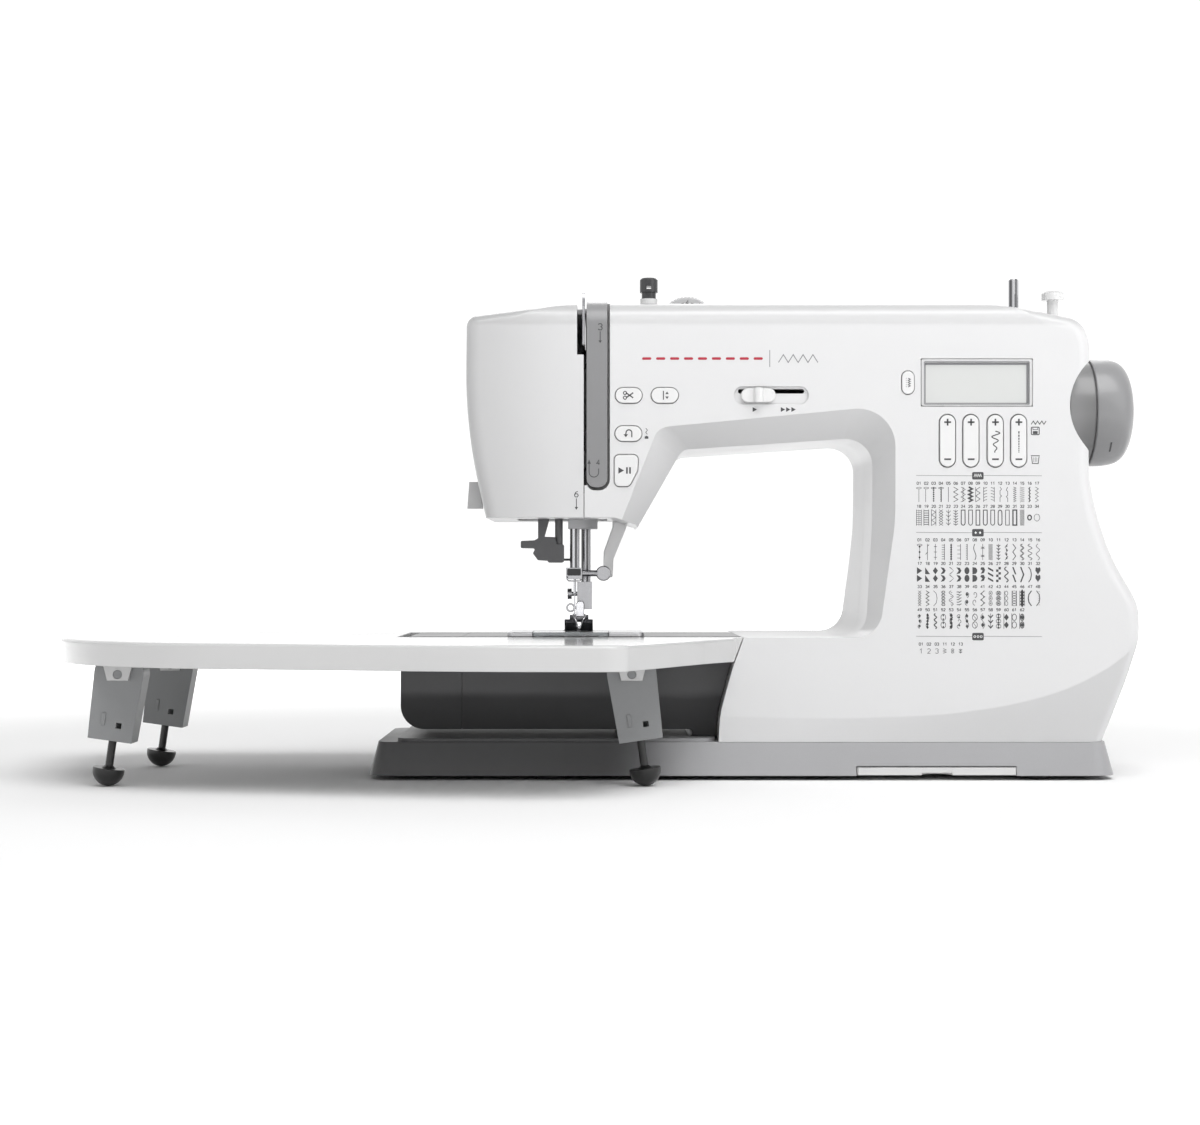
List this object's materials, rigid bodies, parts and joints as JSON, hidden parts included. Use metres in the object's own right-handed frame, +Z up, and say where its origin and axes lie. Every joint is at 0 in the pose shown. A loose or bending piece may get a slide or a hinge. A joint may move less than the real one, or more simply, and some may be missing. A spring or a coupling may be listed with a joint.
{
  "type": "sewing machine",
  "caption": "Computerised free-arm sewing machine with display, stitch keys and handwheel, and a clip-on extension table on folding screw-footed legs.",
  "frame": {"origin": "on the floor, at the middle of the whole machine and table in plan", "axes": "+X to the right of the person sewing, towards the handwheel; +Y away from them; +Z up"},
  "size_m": [0.649, 0.3214, 0.2995],
  "materials": {
    "body_white": "satin",
    "key_white": "satin",
    "table_white": "gloss",
    "arm_grey": "satin",
    "base_grey": "satin",
    "strip_grey": "satin",
    "wheel_grey": "satin",
    "leg_grey": "satin",
    "charcoal": "satin",
    "screw_foot_black": "satin",
    "rubber_black": "matt",
    "bright_steel": "polished",
    "dark_chrome": "polished",
    "plate_steel": "brushed",
    "cast_frame": "satin",
    "motor_black": "satin",
    "belt_black": "matt",
    "clear_plastic": "clear",
    "hook_dark": "satin",
    "display": "gloss",
    "chart_card": "matt"
  },
  "bodies": {
    "machine": {"base": "base_grey", "base_feet": "rubber_black", "front_cover": "body_white", "rear_cover": "body_white", "face_cover": "body_white", "channel_cover": "strip_grey", "free_arm_cover": "arm_grey", "needle_plate": "plate_steel", "arm_frame": "cast_frame", "motor": "motor_black", "belts": "belt_black", "bobbin_case": "hook_dark", "lcd_panel": "display", "winder_guide": "charcoal", "winder_stop": "key_white", "spool_pin": "strip_grey", "cover_screws": "bright_steel", "power_inlet": "charcoal"},
    "upper_shaft": {"main_shaft": "bright_steel", "handwheel": "wheel_grey"},
    "rotor": {"motor_pulley": "bright_steel"},
    "bottom_shaft": {"lower_shaft": "bright_steel"},
    "hook_race": {"hook": "hook_dark"},
    "bobbin_reel": {"bobbin": "clear_plastic"},
    "needle_carrier": {"needle_bar": "bright_steel", "needle": "bright_steel"},
    "needle_screw": {"clamp_screw": "bright_steel"},
    "take_up": {"take_up_lever": "bright_steel"},
    "lifter": {"foot_lifter": "body_white"},
    "presser": {"presser_bar": "bright_steel", "foot_holder": "bright_steel", "presser_foot": "dark_chrome"},
    "threader": {"needle_threader": "strip_grey"},
    "feed": {"feed_dogs": "plate_steel"},
    "cutter_key": {"cutter_button": "key_white"},
    "needle_key": {"needle_button": "key_white"},
    "reverse_key": {"reverse_button": "key_white"},
    "start_key": {"start_button": "key_white"},
    "mode_key": {"mode_button": "key_white"},
    "rocker_key_1": {"rocker_1": "key_white"},
    "rocker_key_2": {"rocker_2": "key_white"},
    "rocker_key_3": {"rocker_3": "key_white"},
    "rocker_key_4": {"rocker_4": "key_white"},
    "speed_knob": {"speed_slider": "key_white"},
    "dial": {"tension_dial": "body_white"},
    "winder_carriage": {"winder_arm": "charcoal"},
    "winder_post": {"winder_spindle": "bright_steel"},
    "handle": {"carry_handle": "body_white"},
    "chart": {"chart_drawer": "chart_card"},
    "bobbin_lid": {"bobbin_cover": "clear_plastic"},
    "mains_switch": {"power_switch": "charcoal"},
    "table": {"table_top": "table_white"},
    "table_leg_front_left": {"leg_front_left": "leg_grey"},
    "screw_foot_front_left": {"foot_front_left": "screw_foot_black"},
    "table_leg_rear_left": {"leg_rear_left": "leg_grey"},
    "screw_foot_rear_left": {"foot_rear_left": "screw_foot_black"},
    "table_leg_front_right": {"leg_front_right": "leg_grey"},
    "screw_foot_front_right": {"foot_front_right": "screw_foot_black"},
    "table_leg_rear_right": {"leg_rear_right": "leg_grey"},
    "screw_foot_rear_right": {"foot_rear_right": "screw_foot_black"}
  },
  "joints": [
    {"name": "handwheel_spin", "type": "hinge", "parent": "machine", "child": "upper_shaft", "pos_m": [0, 0.0365, 0.22], "axis": [1, 0, 0], "continuous": true},
    {"name": "motor_spin", "type": "hinge", "parent": "machine", "child": "rotor", "pos_m": [0, 0.118, 0.06], "axis": [1, 0, 0], "continuous": true},
    {"name": "lower_shaft_spin", "type": "hinge", "parent": "machine", "child": "bottom_shaft", "pos_m": [0, 0.0348, 0.047], "axis": [1, 0, 0], "continuous": true},
    {"name": "hook_spin", "type": "hinge", "parent": "machine", "child": "hook_race", "pos_m": [-0.019, 0.0165, 0], "axis": [0, 0, 1], "continuous": true},
    {"name": "bobbin_spin", "type": "hinge", "parent": "machine", "child": "bobbin_reel", "pos_m": [-0.019, 0.0165, 0], "axis": [0, 0, 1], "continuous": true},
    {"name": "needle_bar_slide", "type": "slide", "parent": "machine", "child": "needle_carrier", "axis": [0, 0, 1], "range_m": [-0.018, 0.013]},
    {"name": "clamp_screw_turn", "type": "hinge", "parent": "needle_carrier", "child": "needle_screw", "pos_m": [-0.008, 0.031, 0.1212], "axis": [1, 0, 0], "range_deg": [0, 180]},
    {"name": "take_up_swing", "type": "hinge", "parent": "machine", "child": "take_up", "pos_m": [-0.0113, 0.044, 0.252], "axis": [1, 0, 0], "range_deg": [0, 50]},
    {"name": "foot_lifter_turn", "type": "hinge", "parent": "machine", "child": "lifter", "pos_m": [0.013, 0.063, 0.166], "axis": [0, -1, 0], "range_deg": [0, 35]},
    {"name": "presser_slide", "type": "slide", "parent": "machine", "child": "presser", "axis": [0, 0, 1], "range_m": [0, 0.006], "stiffness_N_per_m": 300, "springref_m": -0.006},
    {"name": "threader_slide", "type": "slide", "parent": "machine", "child": "threader", "axis": [0, 0, 1], "range_m": [-0.025, 0], "stiffness_N_per_m": 30, "springref_m": 0.012},
    {"name": "feed_slide", "type": "slide", "parent": "machine", "child": "feed", "axis": [0, 1, 0], "range_m": [-0.002, 0.002]},
    {"name": "cutter_button_press", "type": "slide", "parent": "machine", "child": "cutter_key", "axis": [0, 1, 0], "range_m": [0, 0.0015], "stiffness_N_per_m": 300, "springref_m": -0.001},
    {"name": "needle_button_press", "type": "slide", "parent": "machine", "child": "needle_key", "axis": [0, 1, 0], "range_m": [0, 0.0015], "stiffness_N_per_m": 300, "springref_m": -0.001},
    {"name": "reverse_button_press", "type": "slide", "parent": "machine", "child": "reverse_key", "axis": [0, 1, 0], "range_m": [0, 0.0015], "stiffness_N_per_m": 300, "springref_m": -0.001},
    {"name": "start_button_press", "type": "slide", "parent": "machine", "child": "start_key", "axis": [0, 1, 0], "range_m": [0, 0.0015], "stiffness_N_per_m": 300, "springref_m": -0.001},
    {"name": "mode_button_press", "type": "slide", "parent": "machine", "child": "mode_key", "axis": [0, 1, 0], "range_m": [0, 0.0015], "stiffness_N_per_m": 300, "springref_m": -0.001},
    {"name": "rocker_1_tilt", "type": "hinge", "parent": "machine", "child": "rocker_key_1", "pos_m": [0.2029, -0.02, 0.1992], "axis": [1, 0, 0], "range_deg": [-4, 4], "stiffness_Nm_per_rad": 0.03},
    {"name": "rocker_2_tilt", "type": "hinge", "parent": "machine", "child": "rocker_key_2", "pos_m": [0.2167, -0.02, 0.1992], "axis": [1, 0, 0], "range_deg": [-4, 4], "stiffness_Nm_per_rad": 0.03},
    {"name": "rocker_3_tilt", "type": "hinge", "parent": "machine", "child": "rocker_key_3", "pos_m": [0.231, -0.02, 0.1992], "axis": [1, 0, 0], "range_deg": [-4, 4], "stiffness_Nm_per_rad": 0.03},
    {"name": "rocker_4_tilt", "type": "hinge", "parent": "machine", "child": "rocker_key_4", "pos_m": [0.2448, -0.02, 0.1992], "axis": [1, 0, 0], "range_deg": [-4, 4], "stiffness_Nm_per_rad": 0.03},
    {"name": "speed_slide", "type": "slide", "parent": "machine", "child": "speed_knob", "axis": [1, 0, 0], "range_m": [0, 0.0165]},
    {"name": "tension_dial_turn", "type": "hinge", "parent": "machine", "child": "dial", "pos_m": [0.0511, 0.012, 0.2709], "axis": [0, 1, 0], "range_deg": [-150, 150]},
    {"name": "winder_shift", "type": "slide", "parent": "machine", "child": "winder_carriage", "axis": [1, 0, 0], "range_m": [0, 0.006]},
    {"name": "winder_spin", "type": "hinge", "parent": "winder_carriage", "child": "winder_post", "pos_m": [0.2486, 0.012, 0], "axis": [0, 0, 1], "continuous": true},
    {"name": "carry_handle_swing", "type": "hinge", "parent": "machine", "child": "handle", "pos_m": [0.125, 0.0605, 0.2745], "axis": [1, 0, 0], "range_deg": [0, 90]},
    {"name": "chart_pull", "type": "slide", "parent": "machine", "child": "chart", "axis": [0, -1, 0], "range_m": [0, 0.1]},
    {"name": "bobbin_cover_slide", "type": "slide", "parent": "machine", "child": "bobbin_lid", "axis": [0, -1, 0], "range_m": [0, 0.03]},
    {"name": "power_switch_tilt", "type": "hinge", "parent": "machine", "child": "mains_switch", "pos_m": [0.292, 0.0965, 0.047], "axis": [0, 1, 0], "range_deg": [-5, 5]},
    {"name": "table_pull", "type": "slide", "parent": "machine", "child": "table", "axis": [-1, 0, 0], "range_m": [0, 0.2]},
    {"name": "leg_fold_front_left", "type": "hinge", "parent": "table", "child": "table_leg_front_left", "pos_m": [-0.2743, -0.062, 0.064], "axis": [0, -1, 0], "range_deg": [0, 90]},
    {"name": "foot_screw_front_left", "type": "slide", "parent": "table_leg_front_left", "child": "screw_foot_front_left", "axis": [-0.1392, 0, -0.9903], "range_m": [-0.003, 0.003]},
    {"name": "leg_fold_rear_left", "type": "hinge", "parent": "table", "child": "table_leg_rear_left", "pos_m": [-0.2695, 0.066, 0.064], "axis": [0, -1, 0], "range_deg": [0, 90]},
    {"name": "foot_screw_rear_left", "type": "slide", "parent": "table_leg_rear_left", "child": "screw_foot_rear_left", "axis": [-0.1392, 0, -0.9903], "range_m": [-0.003, 0.003]},
    {"name": "leg_fold_front_right", "type": "hinge", "parent": "table", "child": "table_leg_front_right", "pos_m": [0.0165, -0.062, 0.064], "axis": [0, 1, 0], "range_deg": [0, 90]},
    {"name": "foot_screw_front_right", "type": "slide", "parent": "table_leg_front_right", "child": "screw_foot_front_right", "axis": [0.1392, 0, -0.9903], "range_m": [-0.003, 0.003]},
    {"name": "leg_fold_rear_right", "type": "hinge", "parent": "table", "child": "table_leg_rear_right", "pos_m": [0.0162, 0.1165, 0.064], "axis": [0, 1, 0], "range_deg": [0, 90]},
    {"name": "foot_screw_rear_right", "type": "slide", "parent": "table_leg_rear_right", "child": "screw_foot_rear_right", "axis": [0.1392, 0, -0.9903], "range_m": [-0.003, 0.003]}
  ],
  "couplings": [
    {"joint": "motor_spin", "follows": "handwheel_spin", "ratio": 2.5},
    {"joint": "lower_shaft_spin", "follows": "handwheel_spin", "ratio": 1},
    {"joint": "hook_spin", "follows": "handwheel_spin", "ratio": 2},
    {"joint": "foot_lifter_turn", "follows": "presser_slide", "rad_per_m": 101.8}
  ]
}
